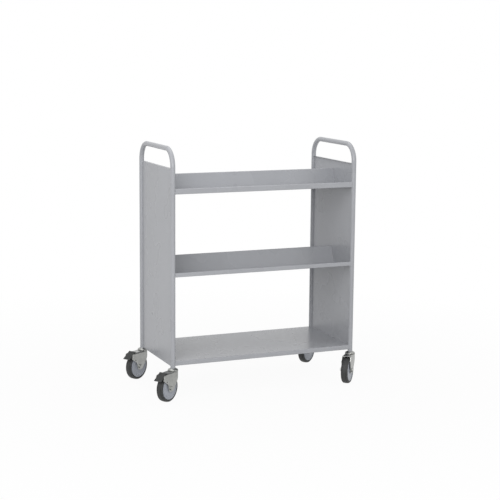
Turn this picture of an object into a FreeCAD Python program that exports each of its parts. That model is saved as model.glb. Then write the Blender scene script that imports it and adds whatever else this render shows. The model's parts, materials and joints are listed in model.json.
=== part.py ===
import FreeCAD, Part
import math
import os

# Double-sided book cart on four swivel casters.
# X runs along the cart's width, Y along its depth (front is -Y), Z is up, the floor is z = 0.
# Each size is in millimetres and each angle in degrees.

# ---- overall sizes and end frames ----
overall_width = 914.0
overall_depth = 447.0
overall_height = 1134.0
tube_outer_dia = 22.2
tube_wall = 1.5
tube_bend_radius = 78.0
panel_thickness = 1.2
panel_below_bend = 7.9
panel_above_foot = 2.0
panel_hem_depth = 12.0

# ---- shelves ----
sheet_thickness = 1.2
sheet_bend_radius = 2.0
lip_setback = 4.0
lip_return = 9.0
top_shelf_drop = 86.0
shelf_pitch = 375.0
bottom_shelf_rise = 29.0
top_lip_height = 25.0
middle_lip_height = 20.0
bottom_lip_height = 21.0
ridge_rise = 43.5
ridge_flat = 6.0
shelf_slope = 14.0

# ---- casters: the wheel ----
wheel_dia = 127.0
tread_width = 32.0
tread_shoulder = 6.0
tread_depth = 11.5
tread_side_slope = 2.0
rim_width = 26.0
rim_wall = 5.0
web_thickness = 5.0
hub_boss_wall = 4.34
hub_side_gap = 2.75
cover_thickness = 1.5
cover_edge_inset = 0.5
cover_ring_inset = 6.0
cover_ring_height = 1.4
cover_ring_top_width = 2.4
cover_ring_foot_width = 4.8

# ---- casters: the swivel head and fork ----
caster_trail = 45.0
race_head_height = 10.5
tread_side_gap = 3.75
fork_sheet = 2.5
fork_bend_radius = 4.0
crown_clearance = 4.0
crown_disc_dia = 47.0
crown_reach = 21.0
leg_boss_radius = 15.0
leg_lead = 8.0
race_cap_sheet = 1.5
race_cap_flat_dia = 25.0
race_cap_dia = 46.0
race_cap_skirt = 3.4
race_gap = 1.2
ball_count = 12
ball_dia = 5.6
ball_ring_dia = 30.0
stem_dia = 11.0
stem_length = 38.0
kingpin_head_dia = 19.0
kingpin_head_height = 3.5
kingpin_washer = 1.5

# ---- casters: axle ----
axle_dia = 10.0
axle_head_flats = 17.0
axle_head_height = 6.4
axle_nut_height = 8.0
axle_washer_dia = 20.0
axle_washer_thickness = 1.6
axle_thread_past_nut = 2.5
spacer_wall = 2.5
bush_wall = 3.0

# ---- casters: brake, on the two left casters ----
pedal_pin_off_tread = 6.4
pedal_pin_angle = 49.93
pedal_pin_dia = 6.0
pedal_side_gap = 1.25
pedal_thickness = 3.0
pedal_rear_reach = 28.0
pedal_rear_drop = 10.0
pedal_front_reach = 17.0
pedal_front_rise = 20.0
pedal_barrel_dia = 10.5
pedal_cheek_width = 5.0
pedal_rib_count = 7
pedal_rib_height = 1.2
pedal_rib_width = 2.0
shoe_width = 24.0
shoe_inner = 5.5
shoe_outer = 13.0
shoe_face = 4.4
shoe_heel_height = 8.0
leaf_thickness = 0.8
leaf_width = 13.0
leaf_length = 23.0
leaf_start_back = 5.0
rivet_head_dia = 9.0
rivet_head_height = 1.8

# ---- clearances ----
running_gap = 0.06
seat_gap = 0.05
ball_gap = 0.08
head_gap = 0.3
weld_gap = 0.0

# The casters trail to the left and forward, so the footprint's centre lies off the frame's centre.
frame_centre_x = 44.0
frame_centre_y = 33.0

# place in the frame (side, end), swivel angle, brake
casters = {
    "front_left": (-1, -1, 215.0, True),
    "rear_left": (-1, 1, 211.5, True),
    "front_right": (1, -1, 228.0, False),
    "rear_right": (1, 1, 216.0, False),
}

# ---- values worked out from the sizes above ----
mounting_height = wheel_dia + crown_clearance + fork_sheet + race_head_height
tube_r = tube_outer_dia / 2
tube_bore_r = tube_r - tube_wall
post_x = overall_width / 2 - tube_r
post_y = overall_depth / 2 - tube_r
bar_z = overall_height - tube_r
panel_top_z = bar_z - tube_bend_radius - panel_below_bend
panel_bottom_z = mounting_height + panel_above_foot
top_shelf_z = panel_top_z - top_shelf_drop
middle_shelf_z = top_shelf_z - shelf_pitch
bottom_shelf_z = panel_bottom_z + bottom_shelf_rise
wheel_r = wheel_dia / 2
crown_bottom_z = wheel_dia + crown_clearance
crown_top_z = crown_bottom_z + fork_sheet
fork_half_inner = tread_width / 2 + tread_side_gap
fork_half_outer = fork_half_inner + fork_sheet
hub_half = fork_half_inner - hub_side_gap
rim_r = wheel_r - tread_depth
axle_r = axle_dia / 2
bush_r = axle_r + seat_gap + spacer_wall + running_gap + bush_wall
hub_boss_r = bush_r + seat_gap + hub_boss_wall
pin_distance = wheel_r + pedal_pin_off_tread
pin_u = caster_trail + pin_distance * math.cos(math.radians(pedal_pin_angle))
pin_z = wheel_r + pin_distance * math.sin(math.radians(pedal_pin_angle))
barrel_r = pedal_barrel_dia / 2


def vec(x, y, z):
    return FreeCAD.Vector(x, y, z)


def cylinder(radius, length, base, direction):
    return Part.makeCylinder(radius, length, base, direction)


def ring(outer, inner, length, base, direction):
    return cylinder(outer, length, base, direction).cut(cylinder(inner, length, base, direction))


def box(x0, x1, y0, y1, z0, z1):
    return Part.makeBox(x1 - x0, y1 - y0, z1 - z0, vec(x0, y0, z0))


def fuse_all(shapes):
    whole = shapes[0]
    if len(shapes) > 1:
        whole = whole.multiFuse(shapes[1:])
    return whole.removeSplitter()


def rounded_loop(corners):
    """Edges of a closed outline. corners holds (point, radius); a radius of 0 is a sharp corner."""
    starts = []
    ends = []
    arcs = []
    count = len(corners)
    for i in range(count):
        point, radius = corners[i]
        before = corners[i - 1][0]
        after = corners[(i + 1) % count][0]
        if radius <= 0:
            starts.append(point)
            ends.append(point)
            arcs.append(None)
            continue
        back = (before - point).normalize()
        ahead = (after - point).normalize()
        half = back.getAngle(ahead) / 2
        cut_back = radius / math.tan(half)
        centre = point + (back + ahead).normalize() * (radius / math.sin(half))
        middle = centre + (point - centre).normalize() * radius
        starts.append(point + back * cut_back)
        ends.append(point + ahead * cut_back)
        arcs.append(middle)
    edges = []
    for i in range(count):
        if arcs[i] is not None:
            edges.append(Part.Arc(starts[i], arcs[i], ends[i]).toShape())
        following = starts[(i + 1) % count]
        if ends[i].distanceToPoint(following) > 1e-6:
            edges.append(Part.LineSegment(ends[i], following).toShape())
    return edges


def prism(corners, along):
    face = Part.Face(Part.Wire(Part.__sortEdges__(rounded_loop(corners))))
    return face.extrude(along)


def folded_sheet(points, thickness, bend_radius, along):
    """A sheet folded along a line of centre points, with round bends, then run straight along a vector."""
    axis = FreeCAD.Vector(along).normalize()
    half = thickness / 2
    left = []
    right = []
    last = len(points) - 1
    for i in range(last + 1):
        into = points[i] - points[i - 1] if i > 0 else points[1] - points[0]
        out = points[i + 1] - points[i] if i < last else into
        into = FreeCAD.Vector(into).normalize()
        out = FreeCAD.Vector(out).normalize()
        side_in = axis.cross(into)
        side_out = axis.cross(out)
        mitre = (side_in + side_out).normalize()
        stretch = half / mitre.dot(side_in)
        turn = into.cross(out).dot(axis)
        inner = bend_radius if 0 < i < last else 0
        outer = bend_radius + thickness if 0 < i < last else 0
        left.append((points[i] + mitre * stretch, inner if turn > 0 else outer))
        right.append((points[i] - mitre * stretch, outer if turn > 0 else inner))
    return prism(left + right[::-1], along)


def save(node, shape):
    placed = shape.copy()
    placed.translate(vec(frame_centre_x, frame_centre_y, 0))
    if not placed.isValid():
        print("not valid:", node)
    placed.exportStep("parts/" + node + ".step")
    print("%-28s solids %2d volume %10.1f" % (node, len(placed.Solids), placed.Volume))


# ---- end frames ----

def bent_tube(radius, x):
    """One inverted U of round bar: two posts, two quarter bends and the handle bar."""
    bend_z = bar_z - tube_bend_radius
    bend_y = post_y - tube_bend_radius
    pieces = [cylinder(radius, 2 * bend_y, vec(x, -bend_y, bar_z), vec(0, 1, 0))]
    for end in (-1, 1):
        foot = vec(x, end * post_y, mounting_height)
        pieces.append(cylinder(radius, bend_z - mounting_height, foot, vec(0, 0, 1)))
        section = Part.Face(Part.Wire(Part.makeCircle(radius, vec(x, end * post_y, bend_z), vec(0, 0, 1))))
        pieces.append(section.revolve(vec(x, end * bend_y, bend_z), vec(1, 0, 0), end * 90))
    whole = pieces[0]
    for piece in pieces[1:]:
        whole = whole.fuse(piece)
    return whole


def end_tube(side):
    x = side * post_x
    return bent_tube(tube_r, x).cut(bent_tube(tube_bore_r, x))


def end_panel(side):
    """A flat sheet between the posts, its top edge folded inwards as a hem."""
    x = side * post_x
    half_y = post_y - tube_r - weld_gap
    inward = -side * panel_hem_depth
    half = panel_thickness / 2
    points = [
        vec(x, -half_y, panel_bottom_z),
        vec(x, -half_y, panel_top_z - half),
        vec(x + inward, -half_y, panel_top_z - half),
    ]
    return folded_sheet(points, panel_thickness, sheet_bend_radius, vec(0, 2 * half_y, 0))


# ---- shelves ----

shelf_half_length = post_x - panel_thickness / 2 - weld_gap
lip_y = overall_depth / 2 - lip_setback - sheet_thickness / 2


def sloping_shelf(edge_z, lip_height):
    """Two decks that slope down to valleys beside a raised middle ridge, folded from one sheet."""
    half = sheet_thickness / 2
    slope = math.radians(shelf_slope)
    deck_z = edge_z - half
    ridge_z = edge_z + ridge_rise - half
    ridge_y = ridge_flat / 2
    # the back stands at a right angle to its deck, so the valley lies where the two lines cross
    rise = ridge_z - deck_z
    run = lip_y - ridge_y
    deck_length = run * math.cos(slope) - rise * math.sin(slope)
    valley_y = lip_y - deck_length * math.cos(slope)
    valley_z = deck_z - deck_length * math.sin(slope)
    lip_z = edge_z - lip_height + half
    side = [(lip_y - lip_return, lip_z), (lip_y, lip_z), (lip_y, deck_z)]
    side += [(valley_y, valley_z), (ridge_y, ridge_z)]
    outline = side + [(-y, z) for y, z in side[::-1]]
    points = [vec(-shelf_half_length, y, z) for y, z in outline]
    return folded_sheet(points, sheet_thickness, sheet_bend_radius, vec(2 * shelf_half_length, 0, 0))


def flat_shelf(edge_z, lip_height):
    half = sheet_thickness / 2
    deck_z = edge_z - half
    lip_z = edge_z - lip_height + half
    side = [(lip_y - lip_return, lip_z), (lip_y, lip_z), (lip_y, deck_z)]
    outline = side + [(-y, z) for y, z in side[::-1]]
    points = [vec(-shelf_half_length, y, z) for y, z in outline]
    return folded_sheet(points, sheet_thickness, sheet_bend_radius, vec(2 * shelf_half_length, 0, 0))


def notch_posts(shelf, side_gap):
    """Cuts a shelf's four corners clear of the posts."""
    for x in (-post_x, post_x):
        for y in (-post_y, post_y):
            reach = tube_r + side_gap
            tool = cylinder(reach, overall_height, vec(x, y, 0), vec(0, 0, 1))
            shelf = shelf.cut(tool)
    return shelf


# ---- caster pieces, built in the caster's own frame ----
# The stem's axis is the z axis, the wheel trails along +X and the axle runs along Y.

wheel_centre = vec(caster_trail, 0, wheel_r)
axle_way = vec(0, 1, 0)


def turned(points):
    """A solid turned about the axle from (y, r) corners with their radii."""
    corners = [(vec(caster_trail, y, wheel_r + r), bend) for y, r, bend in points]
    face = Part.Face(Part.Wire(Part.__sortEdges__(rounded_loop(corners))))
    return face.revolve(wheel_centre, axle_way, 360)


def tyre():
    half = tread_width / 2
    inner = rim_r + seat_gap
    edge = inner + tread_side_slope
    points = [
        (-rim_width / 2, inner, 0),
        (-half, edge, 0),
        (-half, wheel_r, tread_shoulder),
        (half, wheel_r, tread_shoulder),
        (half, edge, 0),
        (rim_width / 2, inner, 0),
    ]
    return turned(points)


def wheel_hub():
    """Rim, web and boss of the wheel centre, with ribs between boss and rim."""
    rim_out = rim_r
    rim_in = rim_out - rim_wall
    boss_r = hub_boss_r
    bore_r = bush_r + seat_gap
    half_web = web_thickness / 2
    half_rim = rim_width / 2
    points = [
        (-hub_half, bore_r, 0),
        (-hub_half, boss_r, 1.0),
        (-half_web, boss_r, 1.5),
        (-half_web, rim_in, 1.5),
        (-half_rim, rim_in, 0.5),
        (-half_rim, rim_out, 0),
        (half_rim, rim_out, 0),
        (half_rim, rim_in, 0.5),
        (half_web, rim_in, 1.5),
        (half_web, boss_r, 1.5),
        (hub_half, boss_r, 1.0),
        (hub_half, bore_r, 0),
    ]
    return turned(points)


def wheel_covers():
    """A dished disc on each face of the hub, with a raised ring near its rim."""
    hole_r = hub_boss_r + head_gap
    outer_r = rim_r - cover_edge_inset
    ring_r = rim_r - cover_ring_inset
    foot = cover_ring_foot_width / 2
    crown = cover_ring_top_width / 2
    discs = []
    for side in (-1, 1):
        base = rim_width / 2 + seat_gap
        top = base + cover_thickness
        crest = top + cover_ring_height
        points = [
            (side * base, hole_r, 0),
            (side * base, outer_r, 0),
            (side * top, outer_r, 0.6),
            (side * top, ring_r + foot, 0),
            (side * crest, ring_r + crown, 0.5),
            (side * crest, ring_r - crown, 0.5),
            (side * top, ring_r - foot, 0),
            (side * top, hole_r, 0.6),
        ]
        discs.append(turned(points))
    return Part.makeCompound(discs)


def wheel_bush():
    inner = bush_r - bush_wall
    return ring(bush_r, inner, 2 * hub_half, wheel_centre - axle_way * hub_half, axle_way)


def axle_spacer():
    half = fork_half_inner
    outer = axle_r + seat_gap + spacer_wall
    return ring(outer, axle_r + seat_gap, 2 * half, wheel_centre - axle_way * half, axle_way)


def hexagon(flats, height, base, direction):
    """A hexagonal prism with its outer corners turned down to a cone."""
    corner_r = flats / math.sqrt(3)
    body = Part.makeCircle(corner_r, base, direction)
    points = body.discretize(Number=7)
    prism_ = Part.Face(Part.makePolygon(points)).extrude(direction * height)
    chamfer = (corner_r - flats / 2) * 1.6
    cone_base = base + direction * (height - chamfer * 0.6)
    limit = cylinder(corner_r + 1, height - chamfer * 0.6, base, direction)
    cone = Part.makeCone(corner_r, corner_r - chamfer, chamfer * 0.6, cone_base, direction)
    return prism_.common(limit.fuse(cone))


def axle_bolt():
    start = wheel_centre + axle_way * fork_half_outer
    grip = 2 * fork_half_outer + axle_washer_thickness + axle_nut_height + axle_thread_past_nut
    shank = cylinder(axle_r, grip, start - axle_way * grip, axle_way)
    head = hexagon(axle_head_flats, axle_head_height, start, axle_way)
    return shank.fuse(head).removeSplitter()


def axle_nut():
    seat = wheel_centre - axle_way * fork_half_outer
    out = axle_way * -1
    washer = ring(axle_washer_dia / 2, axle_r + seat_gap, axle_washer_thickness, seat, out)
    nut_seat = seat + out * axle_washer_thickness
    nut = hexagon(axle_head_flats, axle_nut_height, nut_seat, out)
    nut = nut.cut(cylinder(axle_r + seat_gap, axle_nut_height, nut_seat, out))
    return Part.makeCompound([washer, nut])


def fork_side_outline(brake):
    """The fork seen from its side: legs that narrow to the axle, and an ear for the brake's pin."""
    top = crown_top_z + 1
    boss_r = leg_boss_radius
    low = wheel_r - boss_r
    front = -leg_lead
    corners = [
        ((front, top), 0),
        ((front, wheel_r + 33), 40.0),
        ((caster_trail - boss_r - 2, low), boss_r - 1),
        ((caster_trail + boss_r, low), boss_r - 1),
        ((caster_trail + boss_r + 6, wheel_r + 20), 14.0),
    ]
    if brake:
        corners += [
            ((pin_u + 12, pin_z - 10), 9.0),
            ((pin_u + 7, pin_z + 11), 8.0),
            ((caster_trail + 20, top), 12.0),
        ]
    else:
        corners += [
            ((caster_trail + 30, wheel_r + 46), 9.0),
            ((caster_trail + 18, top), 10.0),
        ]
    points = [(vec(u, -fork_half_outer - 5, z), bend) for (u, z), bend in corners]
    return prism(points, vec(0, 2 * fork_half_outer + 10, 0))


def fork(brake):
    """Crown and two legs pressed from one sheet, cut to the side outline, with a round race seat on top."""
    half = fork_sheet / 2
    leg_y = fork_half_inner + half
    crown_z = crown_top_z - half
    start_u = -crown_disc_dia
    length = pin_u + 2 * crown_disc_dia
    section = [(leg_y, 0), (leg_y, crown_z), (-leg_y, crown_z), (-leg_y, 0)]
    points = [vec(start_u, y, z) for y, z in section]
    channel = folded_sheet(points, fork_sheet, fork_bend_radius, vec(length, 0, 0))
    body = channel.common(fork_side_outline(brake))
    if brake:
        past_crown = caster_trail + crown_reach
        high = crown_top_z + 5
        body = body.cut(box(past_crown, length, -fork_half_inner, fork_half_inner, wheel_r, high))
    disc = cylinder(crown_disc_dia / 2, fork_sheet, vec(0, 0, crown_bottom_z), vec(0, 0, 1))
    body = body.fuse(disc).removeSplitter()
    body = body.cut(cylinder(stem_dia / 2 + running_gap, fork_sheet, vec(0, 0, crown_bottom_z), vec(0, 0, 1)))
    across = 2 * fork_half_outer
    body = body.cut(cylinder(axle_r + seat_gap, across, wheel_centre - axle_way * fork_half_outer, axle_way))
    if brake:
        pin_base = vec(pin_u, -fork_half_outer, pin_z)
        body = body.cut(cylinder(pedal_pin_dia / 2 + seat_gap, across, pin_base, axle_way))
        hole_base = vec(caster_trail + 31, -fork_half_outer, wheel_r + 34)
        body = body.cut(cylinder(3.0, across, hole_base, axle_way))
    return body


def race_balls():
    """The ball ring between the crown and the fixed race cap."""
    balls = []
    centre_z = crown_top_z + ball_gap + ball_dia / 2
    for i in range(ball_count):
        turn = 2 * math.pi * i / ball_count
        at = vec(ball_ring_dia / 2 * math.cos(turn), ball_ring_dia / 2 * math.sin(turn), centre_z)
        balls.append(Part.makeSphere(ball_dia / 2, at))
    return Part.makeCompound(balls)


def around_stem(points):
    """A solid turned about the stem from (r, z) corners with their radii."""
    corners = [(vec(r, 0, z), bend) for r, z, bend in points]
    face = Part.Face(Part.Wire(Part.__sortEdges__(rounded_loop(corners))))
    return face.revolve(vec(0, 0, 0), vec(0, 0, 1), 360)


def race_cap():
    """The pressed dish that is fixed to the stem and covers the balls."""
    bore = stem_dia / 2 + seat_gap
    flat = race_cap_flat_dia / 2
    rim = race_cap_dia / 2
    top = mounting_height
    skin = race_cap_sheet
    low = crown_top_z + race_gap
    points = [
        (bore, top - skin, 0),
        (flat, top - skin, 1.0),
        (rim - skin, low + race_cap_skirt - 1.2, 1.0),
        (rim - skin, low, 0),
        (rim, low, 0),
        (rim, low + race_cap_skirt, 1.5),
        (flat + 0.6, top, 2.0),
        (bore, top, 0),
    ]
    return around_stem(points)


def stem():
    """Kingpin and stem in one: up into the post's socket, down through the crown to a riveted head."""
    top = mounting_height + stem_length
    washer_top = crown_bottom_z - head_gap
    head_top = washer_top - kingpin_washer
    head_low = head_top - kingpin_head_height
    head_r = kingpin_head_dia / 2
    stem_r = stem_dia / 2
    points = [
        (0, head_low, 0),
        (head_r - 2, head_low, 1.0),
        (head_r, head_top, 0),
        (head_r + 1.5, head_top, 0),
        (head_r + 1.5, washer_top, 0),
        (stem_r, washer_top, 0),
        (stem_r, top, 1.5),
        (0, top, 0),
    ]
    return around_stem(points)


def stem_socket():
    """The steel insert in the post's lower end that holds the stem."""
    outer = tube_bore_r - seat_gap
    inner = stem_dia / 2 + seat_gap
    return ring(outer, inner, stem_length + 4, vec(0, 0, mounting_height), vec(0, 0, 1))


# ---- brake ----

pin_at = vec(pin_u, 0, pin_z)
to_wheel = (wheel_centre - pin_at).normalize()
along_tread = vec(-to_wheel.z, 0, to_wheel.x)


def brake_point(along, down):
    """A point given by its distance along the tread and towards the wheel, from the pedal's pin."""
    return pin_at + along_tread * along + to_wheel * down


def brake_block(along0, along1, down0, down1, half_width):
    corners = [(along0, down0), (along1, down0), (along1, down1), (along0, down1)]
    points = [(brake_point(a, d) - axle_way * half_width, 0) for a, d in corners]
    return prism(points, axle_way * 2 * half_width)


def brake_pedal():
    """A rocking tread plate with cross ribs, its barrel on the pin and its heel above the brake shoe."""
    rear = pin_at + vec(pedal_rear_reach, 0, -pedal_rear_drop)
    front = pin_at + vec(-pedal_front_reach, 0, pedal_front_rise)
    slope = (rear - front).normalize()
    up = vec(-slope.z, 0, slope.x)
    half = fork_half_inner - pedal_side_gap
    side = axle_way * half
    top = up * pedal_thickness
    outline = [(front - side, 0), (rear - side, 0), (rear + top - side, 1.2), (front + top - side, 1.2)]
    plate = prism(outline, side * 2)
    pieces = [plate]
    length = (rear - front).Length
    step = length / (pedal_rib_count + 1)
    for i in range(pedal_rib_count):
        start = front + slope * (step * (i + 1) - pedal_rib_width / 2) + up * (pedal_thickness - 0.3)
        rib_side = axle_way * (half - 2)
        high = up * (pedal_rib_height + 0.3)
        wide = slope * pedal_rib_width
        base = start - rib_side
        corners = [(base, 0), (base + wide, 0), (base + wide + high, 0.6), (base + high, 0.6)]
        pieces.append(prism(corners, rib_side * 2))
    barrel_half = fork_half_inner - head_gap - 0.7
    barrel = cylinder(barrel_r, 2 * barrel_half, pin_at - axle_way * barrel_half, axle_way)
    pieces.append(barrel)
    for end in (-1, 1):
        inner = end * (half - pedal_cheek_width)
        outer = end * half
        offset = axle_way * min(inner, outer)
        corners = [
            (pin_at + vec(-barrel_r, 0, 0) + offset, 2.0),
            (pin_at + vec(barrel_r, 0, -1.0) + offset, 2.0),
            (rear - slope * 8 + up + offset, 0),
            (front + slope * 10 + up + offset, 0),
        ]
        pieces.append(prism(corners, axle_way * pedal_cheek_width))
    pieces.append(brake_block(shoe_inner - 2, shoe_outer - 1, -shoe_heel_height, 0.0, shoe_width / 2))
    body = fuse_all(pieces)
    bore_base = pin_at - axle_way * fork_half_outer
    bore = cylinder(pedal_pin_dia / 2 + running_gap, 2 * fork_half_outer, bore_base, axle_way)
    return body.cut(bore)


def brake_shoe():
    return brake_block(shoe_inner, shoe_outer, seat_gap, shoe_face, shoe_width / 2)


def pedal_pin():
    """The riveted pin through both ears and the pedal's barrel."""
    half = fork_half_outer
    shank = cylinder(pedal_pin_dia / 2, 2 * half, pin_at - axle_way * half, axle_way)
    heads = []
    for end in (-1, 1):
        out = axle_way * end
        seat = pin_at + out * half
        head_r = rivet_head_dia / 2
        heads.append(Part.makeCone(head_r, head_r - rivet_head_height * 0.8, rivet_head_height, seat, out))
    return fuse_all([shank] + heads)


def brake_leaf():
    """A leaf spring held under the crown, its free end lying over the top of the pedal's barrel."""
    half = leaf_thickness / 2
    side = -leaf_width / 2
    lie_z = crown_bottom_z - half
    start = vec(caster_trail - leaf_start_back, side, lie_z)
    knee = vec(start.x + leaf_length, side, lie_z)
    # the free part is the line from the knee that touches a circle round the pin
    reach = barrel_r + head_gap + half
    across = vec(pin_u - knee.x, 0, pin_z - lie_z)
    drop = math.atan2(across.z, across.x) + math.asin(reach / across.Length)
    free = math.sqrt(across.Length ** 2 - reach ** 2)
    end = knee + vec(math.cos(drop), 0, math.sin(drop)) * free
    return folded_sheet([start, knee, end], leaf_thickness, 6.0, vec(0, leaf_width, 0))


# ---- assembly ----

def main():
    os.makedirs("parts", exist_ok=True)
    for name, side in (("left", -1), ("right", 1)):
        save(name + "_end_tube", end_tube(side))
        save(name + "_end_panel", end_panel(side))
    save("top_shelf", notch_posts(sloping_shelf(top_shelf_z, top_lip_height), head_gap))
    save("middle_shelf", notch_posts(sloping_shelf(middle_shelf_z, middle_lip_height), head_gap))
    save("bottom_shelf", notch_posts(flat_shelf(bottom_shelf_z, bottom_lip_height), head_gap))

    sockets = []
    for name, (side, end, angle, brake) in casters.items():
        pieces = {
            "stem": stem(),
            "race_cap": race_cap(),
            "race_balls": race_balls(),
            "fork": fork(brake),
            "axle_bolt": axle_bolt(),
            "axle_nut": axle_nut(),
            "axle_spacer": axle_spacer(),
            "wheel_bush": wheel_bush(),
            "wheel_hub": wheel_hub(),
            "wheel_covers": wheel_covers(),
            "tyre": tyre(),
        }
        if brake:
            pieces["brake_pedal"] = brake_pedal()
            pieces["brake_shoe"] = brake_shoe()
            pieces["pedal_pin"] = pedal_pin()
            pieces["brake_leaf"] = brake_leaf()
        at = vec(side * post_x, end * post_y, 0)
        for piece, shape in pieces.items():
            shape.rotate(vec(0, 0, 0), vec(0, 0, 1), angle)
            shape.translate(at)
            save(name + "_" + piece, shape)
        socket = stem_socket()
        socket.translate(at)
        sockets.append(socket)
    save("stem_sockets", Part.makeCompound(sockets))


main()
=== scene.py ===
import bpy
import json
import math
from mathutils import Matrix, Vector


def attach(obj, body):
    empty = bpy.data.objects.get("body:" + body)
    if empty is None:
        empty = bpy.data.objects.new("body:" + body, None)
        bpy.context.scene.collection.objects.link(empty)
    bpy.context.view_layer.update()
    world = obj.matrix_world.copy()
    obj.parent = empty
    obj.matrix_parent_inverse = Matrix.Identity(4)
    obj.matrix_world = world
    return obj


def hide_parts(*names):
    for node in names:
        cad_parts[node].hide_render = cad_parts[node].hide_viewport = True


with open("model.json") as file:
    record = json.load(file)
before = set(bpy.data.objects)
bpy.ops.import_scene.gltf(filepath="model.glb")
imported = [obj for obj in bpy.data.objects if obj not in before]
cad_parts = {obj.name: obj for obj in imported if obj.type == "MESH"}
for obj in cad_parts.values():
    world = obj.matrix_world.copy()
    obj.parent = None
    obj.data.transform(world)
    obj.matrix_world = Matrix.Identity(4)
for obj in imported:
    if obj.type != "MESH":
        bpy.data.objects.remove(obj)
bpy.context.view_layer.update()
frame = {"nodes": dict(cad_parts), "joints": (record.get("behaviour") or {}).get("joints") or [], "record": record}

print("stage: frame loaded,", len(frame["nodes"]), "nodes")

bpy.ops.object.select_all(action="DESELECT")

# camera and view
viewpoint = {
    "place": (-2.3601, -5.5824, 1.6169),  # metres from the middle of the footprint
    "turn": -23.32,  # degrees round the upright
    "tilt": 9.25,  # degrees looking down
    "lean": 0.50,  # degrees round the line of sight
    "lens": 94.8,  # millimetres
    "sensor": 36.0,  # millimetres
}


def makeCamera():
    turn, tilt, lean = (math.radians(viewpoint[k]) for k in ("turn", "tilt", "lean"))
    level = math.cos(tilt)
    back = Vector((math.sin(turn) * level, -math.cos(turn) * level, math.sin(tilt)))
    right = (-back).cross(Vector((0, 0, 1))).normalized()
    up = right.cross(-back)
    leanRight = right * math.cos(lean) + up * math.sin(lean)
    leanUp = up * math.cos(lean) - right * math.sin(lean)
    data = bpy.data.cameras.new("viewCamera")
    data.lens = viewpoint["lens"]
    data.sensor_width = viewpoint["sensor"]
    camera = bpy.data.objects.new("viewCamera", data)
    bpy.context.scene.collection.objects.link(camera)
    rows = Matrix((leanRight, leanUp, back)).transposed().to_4x4()
    camera.matrix_world = Matrix.Translation(viewpoint["place"]) @ rows
    bpy.context.scene.camera = camera


makeCamera()
bpy.context.scene.view_settings.view_transform = "Standard"
print("stage: camera")


# shader helpers
class Signal:
    def __init__(self, finish, socket):
        self.finish = finish
        self.socket = socket

    def calc(self, operation, other):
        return self.finish.node("ShaderNodeMath", {"operation": operation}, {0: self, 1: other})

    def __add__(self, other):
        return self.calc("ADD", other)

    __radd__ = __add__

    def __mul__(self, other):
        return self.calc("MULTIPLY", other)


class Finish:
    def __init__(self, name, **fixed):
        self.material = bpy.data.materials.new(name)
        self.material.use_nodes = True
        self.tree = self.material.node_tree
        self.shader = self.tree.nodes["Principled BSDF"]
        for socket, value in fixed.items():
            self.shader.inputs[socket.replace("_", " ")].default_value = value

    def node(self, kind, settings=None, inputs=None, output=0):
        made = self.tree.nodes.new(kind)
        for key, value in (settings or {}).items():
            if key == "stops":
                self.setStops(made.color_ramp.elements, value)
            else:
                setattr(made, key, value)
        for key, value in (inputs or {}).items():
            if isinstance(value, Signal):
                self.tree.links.new(value.socket, made.inputs[key])
            else:
                made.inputs[key].default_value = value
        return Signal(self, made.outputs[output])

    def setStops(self, elements, stops):
        for element, (position, colour) in zip(elements, stops):
            element.position = position
            element.color = (*colour, 1)

    def place(self):
        return self.node("ShaderNodeTexCoord", output="Object")

    def noise(self, scale, detail, stretch=None):
        where = self.place()
        if stretch:
            where = self.node("ShaderNodeMapping", inputs={"Vector": where, "Scale": stretch})
        settings = {"Vector": where, "Scale": scale, "Detail": detail}
        return self.node("ShaderNodeTexNoise", inputs=settings)

    def tint(self, factor, ends, colour, shares):
        stops = [(end, shade(colour, share)) for end, share in zip(ends, shares)]
        return self.node("ShaderNodeValToRGB", {"stops": stops}, {"Fac": factor})

    def feed(self, socket, signal):
        self.tree.links.new(signal.socket, self.shader.inputs[socket])

    def bump(self, height, strength, distance):
        settings = {"Height": height, "Strength": strength, "Distance": distance}
        self.feed("Normal", self.node("ShaderNodeBump", inputs=settings))


def shade(colour, factor):
    return tuple(min(1.0, c * factor) for c in colour)


# powder coat on the frame, panels and shelves
powder = {
    "colour": (0.352, 0.360, 0.382),
    "shares": (0.94, 1.05),  # darkest and lightest, as shares of the colour
    "ends": (0.30, 0.70),  # where in the mottling those two lie
    "cloudScale": 5.0,
    "grainScale": 620.0,
    "detail": 2.0,
    "cloudPart": 0.7,
    "grainPart": 0.3,
    "rough": 0.27,
    "roughDrop": 0.06,
    "roughSpread": 0.14,
    "bump": 0.16,
    "bumpDepth": 0.0003,
    "ior": 1.5,
}


def powderCoat():
    made = Finish("silverPowderCoat", IOR=powder["ior"], Metallic=0.0)
    cloud = made.noise(powder["cloudScale"], powder["detail"])
    speck = made.noise(powder["grainScale"], powder["detail"])
    mixed = cloud * powder["cloudPart"] + speck * powder["grainPart"]
    made.feed("Base Color", made.tint(mixed, powder["ends"], powder["colour"], powder["shares"]))
    made.feed("Roughness", powder["rough"] - powder["roughDrop"] + cloud * powder["roughSpread"])
    made.bump(speck, powder["bump"], powder["bumpDepth"])
    return made.material


# metals: what all share, then each one
plating = {
    "shares": (0.84, 1.08),
    "ends": (0.30, 0.72),
    "cloudScale": 38.0,
    "cloudDetail": 4.0,
    "streakDetail": 3.0,
    "streakStretch": (1.0, 1.0, 0.08),
    "roughDrop": 0.05,
    "roughCloud": 0.10,
    "roughStreak": 0.12,
    "bump": 0.10,
    "bumpDepth": 0.0002,
}
metals = {
    "zinc_plate": {
        "name": "zincPlate", "colour": (0.37, 0.375, 0.362), "rough": 0.25, "grain": 260.0},
    "bearing_steel": {
        "name": "turnedSteel", "colour": (0.48, 0.48, 0.50), "rough": 0.24, "grain": 420.0},
}


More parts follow.
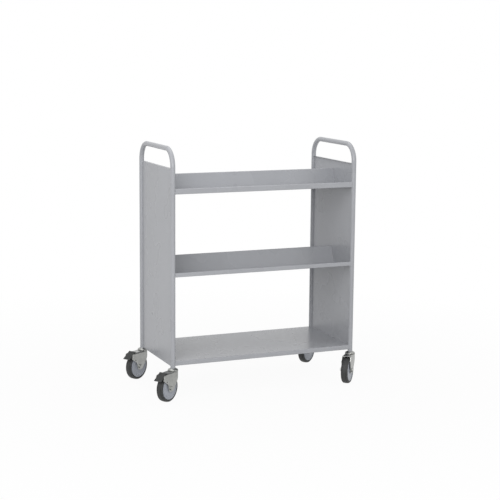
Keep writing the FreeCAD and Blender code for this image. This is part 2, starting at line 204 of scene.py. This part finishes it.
def plated(look):
    made = Finish(look["name"], Metallic=1.0)
    cloud = made.noise(plating["cloudScale"], plating["cloudDetail"])
    streak = made.noise(look["grain"], plating["streakDetail"], plating["streakStretch"])
    made.feed("Base Color", made.tint(cloud, plating["ends"], look["colour"], plating["shares"]))
    varied = look["rough"] - plating["roughDrop"] + cloud * plating["roughCloud"]
    made.feed("Roughness", varied + streak * plating["roughStreak"])
    made.bump(streak, plating["bump"], plating["bumpDepth"])
    return made.material


# rubber and plastics: what all share, then each one
moulding = {
    "ends": (0.30, 0.70),
    "cloudScale": 24.0,
    "cloudDetail": 4.0,
    "grainDetail": 3.0,
    "cloudPart": 0.6,
    "grainPart": 0.4,
    "roughDrop": 0.07,
    "roughSpread": 0.14,
    "bumpDepth": 0.0003,
}
plastics = {
    "grey_tread": {
        "name": "greyTread", "colour": (0.030, 0.031, 0.031), "rough": 0.58,
        "grain": 420.0, "bump": 0.35, "spread": 0.16},
    "grey_hub": {
        "name": "greyHub", "colour": (0.345, 0.365, 0.405), "rough": 0.34,
        "grain": 700.0, "bump": 0.12, "spread": 0.05},
    "bush_nylon": {
        "name": "bushNylon", "colour": (0.74, 0.73, 0.68), "rough": 0.40,
        "grain": 500.0, "bump": 0.10, "spread": 0.04},
    "pedal_black": {
        "name": "pedalBlack", "colour": (0.033, 0.034, 0.034), "rough": 0.46,
        "grain": 900.0, "bump": 0.25, "spread": 0.12},
    "shoe_rubber": {
        "name": "shoeRubber", "colour": (0.030, 0.030, 0.030), "rough": 0.70,
        "grain": 600.0, "bump": 0.30, "spread": 0.15},
}


def moulded(look):
    made = Finish(look["name"])
    cloud = made.noise(moulding["cloudScale"], moulding["cloudDetail"])
    speck = made.noise(look["grain"], moulding["grainDetail"])
    mixed = cloud * moulding["cloudPart"] + speck * moulding["grainPart"]
    shares = (1 - look["spread"], 1 + look["spread"])
    made.feed("Base Color", made.tint(mixed, moulding["ends"], look["colour"], shares))
    made.feed("Roughness", look["rough"] - moulding["roughDrop"] + cloud * moulding["roughSpread"])
    made.bump(speck, look["bump"], moulding["bumpDepth"])
    return made.material


finishes = {"silver_powder_coat": powderCoat()}
finishes.update((slot, plated(look)) for slot, look in metals.items())
finishes.update((slot, moulded(look)) for slot, look in plastics.items())
slotOf = {row["node"]: row["material_slot"] for row in frame["record"]["subparts"]}
for node, piece in frame["nodes"].items():
    for slot in piece.material_slots:
        slot.material = finishes[slotOf[node]]
print("stage: finishes")

# pieces turned about a wheel's axle
turning = {"steps": 96, "seedRadius": 0.05, "mergeWithin": 0.00001}


def wheelFacts(corner, node):
    joint = next(j for j in frame["joints"] if j["child"] == corner + "_wheel")
    centre = Vector(joint["pos_m"])
    axle = Vector(joint["axis"]).normalized()
    along, radial = [], []
    for vertex in frame["nodes"][node].data.vertices:
        arm = vertex.co - centre
        along.append(arm.dot(axle))
        radial.append((arm - axle * along[-1]).length)
    return centre, axle, along, radial


def turnedPiece(name, profile, centre, axle, finish, sharp):
    bpy.ops.object.select_all(action="DESELECT")
    bpy.ops.mesh.primitive_circle_add(
        vertices=len(profile), radius=turning["seedRadius"], location=(0, 0, 0))
    piece = bpy.context.object
    piece.name = name
    for vertex, (y, r) in zip(piece.data.vertices, profile):
        vertex.co = centre + axle * y + Vector((0, 0, r))
    bpy.ops.object.mode_set(mode="EDIT")
    bpy.ops.mesh.select_all(action="SELECT")
    bpy.ops.mesh.spin(steps=turning["steps"], angle=2 * math.pi, center=centre, axis=axle)
    bpy.ops.mesh.select_all(action="SELECT")
    bpy.ops.mesh.remove_doubles(threshold=turning["mergeWithin"])
    bpy.ops.mesh.normals_make_consistent(inside=False)
    bpy.ops.object.mode_set(mode="OBJECT")
    bpy.ops.object.shade_smooth_by_angle(angle=math.radians(sharp))
    piece.data.materials.append(finishes[finish])
    return piece


corners = ("front_left", "rear_left", "front_right", "rear_right")

# tyres: crowned tread, a moulded groove at each shoulder, a stepped side wall
tyreShape = {
    "sharp": 32,  # degrees, past which an edge stays hard
    "inset": 0.0001,  # keeps the turned tread inside the frame's tyre
    "crown": 0.0006,  # how far the tread's edge lies inside its middle
    "crownMid": (0.5, 0.25),  # half way out, a quarter of the crown
    "shoulder": 0.0060,
    "shoulderCurve": ((0.5, 0.16), (0.12, 0.62), (0.0, 1.2)),  # in and down, in shoulders
    "grooveWidth": 0.0018,
    "grooveDepth": 0.0011,
    "grooveFlank": 0.2,  # share of the groove's width
    "grooveLip": 0.0001,
    "sideStep": 0.0007,
    "stepEdge": 0.0062,  # these three are heights over the bore
    "stepTop": 0.0056,
    "stepFoot": 0.0026,
    "boreChamfer": 0.0030,
}


def tyreProfile(half, outer, inner):
    shape = tyreShape
    shoulder, crown = shape["shoulder"], shape["crown"]
    cut, deep, flank = shape["grooveWidth"], shape["grooveDepth"], shape["grooveFlank"]
    edge = half - shoulder
    low = outer - crown
    wall = half - shape["sideStep"]
    out, drop = shape["crownMid"]
    right = [
        (0.0, outer),
        (edge * out, outer - crown * drop),
        (edge - cut, low),
        (edge - cut * (1 - flank), low - deep),
        (edge - cut * flank, low - deep),
        (edge, low - shape["grooveLip"]),
    ]
    right += [(half - shoulder * x, low - shoulder * y) for x, y in shape["shoulderCurve"]]
    right += [
        (half, inner + shape["stepEdge"]),
        (wall, inner + shape["stepTop"]),
        (wall, inner + shape["stepFoot"]),
        (half - shape["boreChamfer"], inner),
    ]
    return right + [(-y, r) for y, r in right[:0:-1]]


for corner in corners:
    node = corner + "_tyre"
    centre, axle, along, radial = wheelFacts(corner, node)
    profile = tyreProfile(max(along), max(radial) - tyreShape["inset"], min(radial))
    name = corner + "_moulded_tyre"
    tyre = turnedPiece(name, profile, centre, axle, "grey_tread", tyreShape["sharp"])
    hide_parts(node)
    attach(tyre, corner + "_wheel")
print("stage: tyres")

# wheel covers: a raised band at the rim, a groove inside it and a plain face
coverShape = {
    "sharp": 24,
    "face": 0.0015,  # the plain face over the cover's back
    "bandWidth": 0.0052,
    "round": 0.0007,
    "outerRound": 0.3,  # these two are in shares of the round
    "innerRound": (0.5, 0.2),
    "grooveWidth": 0.0036,
    "grooveDepth": 0.0007,  # below the plain face
    "grooveWall": ((0.0002, 0.0003), (0.0, 0.0007)),  # up and in from the band's edge
    "soften": 0.0006,
    "softDrop": 0.0001,
    "collar": 0.0024,  # raised edge round the hole
    "collarRise": 0.0005,
}


def coverProfile(inner, outer, base, top, crest):
    shape = coverShape
    edge, soften = shape["round"], shape["soften"]
    share = shape["outerRound"]
    up, across = shape["innerRound"]
    bandIn = outer - shape["bandWidth"]
    grooveIn = bandIn - shape["grooveWidth"]
    low = top - shape["grooveDepth"]
    collar = inner + shape["collar"]
    rise = top + shape["collarRise"]
    return [
        (base, inner),
        (base, outer),
        (crest - edge, outer),
        (crest - edge * share, outer - edge * share),
        (crest, outer - edge),
        (crest, bandIn + edge),
        (crest - edge * up, bandIn + edge * across),
        *((low + y, bandIn - r) for y, r in shape["grooveWall"]),
        (low, grooveIn + soften),
        (top - shape["softDrop"], grooveIn),
        (top, grooveIn - soften),
        (top, collar + soften),
        (rise, collar),
        (rise, inner),
    ]


for corner in corners:
    node = corner + "_wheel_covers"
    centre, axle, along, radial = wheelFacts(corner, node)
    base = min(abs(y) for y in along)
    crest = max(abs(y) for y in along)
    shape = coverProfile(min(radial), max(radial), base, base + coverShape["face"], crest)
    for side, tag in ((-1, "near"), (1, "far")):
        profile = [(side * y, r) for y, r in shape]
        name = corner + "_cover_" + tag
        cover = turnedPiece(name, profile, centre, axle, "grey_hub", coverShape["sharp"])
        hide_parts(node)
        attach(cover, corner + "_wheel")
print("stage: wheel covers")


# floor, backdrop and light
room = {
    "floorTone": 0.60,
    "floorRough": 0.9,
    "floorReach": 60.0,
    "fadeFrom": 0.8,  # metres from the cart
    "fadeTo": 2.4,
    "nearGlow": 0.95,  # share of the floor's white near the cart, where its shadow shows
    "farGlow": 1.0,
    "white": 1.0,
    "skyLight": 0.60,
}


# the rays that meet the white background; the rest meet its light
def seenRays(tree):
    path = tree.nodes.new("ShaderNodeLightPath")
    seen = path.outputs["Is Camera Ray"]
    for ray in ("Is Glossy Ray", "Is Transmission Ray"):
        either = tree.nodes.new("ShaderNodeMath")
        either.operation = "MAXIMUM"
        tree.links.new(seen, either.inputs[0])
        tree.links.new(path.outputs[ray], either.inputs[1])
        seen = either.outputs[0]
    return seen


def makeFloor():
    bpy.ops.mesh.primitive_plane_add(size=2 * room["floorReach"], location=(0, 0, 0))
    floor = bpy.context.object
    floor.name = "floor"
    made = Finish("paleFloor", Roughness=room["floorRough"])
    made.shader.inputs["Base Color"].default_value = (room["floorTone"],) * 3 + (1,)
    length = {"operation": "LENGTH"}
    away = made.node("ShaderNodeVectorMath", length, {0: made.place()}, output="Value")
    fade = made.node("ShaderNodeMapRange", inputs={
        "Value": away, "From Min": room["fadeFrom"], "From Max": room["fadeTo"],
        "To Min": room["nearGlow"], "To Max": room["farGlow"]})
    seen = Signal(made, seenRays(made.tree))
    white = {"Color": (1, 1, 1, 1), "Strength": room["white"]}
    glow = made.node("ShaderNodeEmission", inputs=white)
    blend = made.tree.nodes.new("ShaderNodeMixShader")
    out = made.tree.nodes["Material Output"]
    made.tree.links.new((fade * seen).socket, blend.inputs[0])
    made.tree.links.new(made.shader.outputs[0], blend.inputs[1])
    made.tree.links.new(glow.socket, blend.inputs[2])
    made.tree.links.new(blend.outputs[0], out.inputs["Surface"])
    floor.data.materials.append(made.material)


def makeWorld():
    world = bpy.data.worlds.new("studioWorld")
    bpy.context.scene.world = world
    world.use_nodes = True
    nodes, links = world.node_tree.nodes, world.node_tree.links
    nodes.clear()
    soft = nodes.new("ShaderNodeBackground")
    soft.inputs["Color"].default_value = (1, 1, 1, 1)
    soft.inputs["Strength"].default_value = room["skyLight"]
    white = nodes.new("ShaderNodeBackground")
    white.inputs["Color"].default_value = (1, 1, 1, 1)
    white.inputs["Strength"].default_value = room["white"]
    blend = nodes.new("ShaderNodeMixShader")
    out = nodes.new("ShaderNodeOutputWorld")
    links.new(seenRays(world.node_tree), blend.inputs[0])
    links.new(soft.outputs[0], blend.inputs[1])
    links.new(white.outputs[0], blend.inputs[2])
    links.new(blend.outputs[0], out.inputs["Surface"])


lampAim = (0.0, 0.0, 0.55)
lamps = {
    "keyLamp": {"place": (-2.6, -2.8, 2.6), "size": 2.4, "watts": 66.0},
    "fillLamp": {"place": (2.8, -2.6, 2.0), "size": 2.4, "watts": 13.0},
    "edgeLamp": {"place": (-1.2, -4.2, 1.5), "size": 0.7, "watts": 30.0},
    "topLamp": {"place": (0.0, 0.4, 3.4), "size": 2.6, "watts": 26.0},
}


def makeLamps():
    for name, lamp in lamps.items():
        place = Vector(lamp["place"])
        data = bpy.data.lights.new(name, "AREA")
        data.energy = lamp["watts"]
        data.size = lamp["size"]
        holder = bpy.data.objects.new(name, data)
        holder.location = place
        sight = Vector(lampAim) - place
        holder.rotation_euler = sight.to_track_quat("-Z", "Y").to_euler()
        bpy.context.scene.collection.objects.link(holder)


makeFloor()
makeWorld()
makeLamps()
print("stage: room")
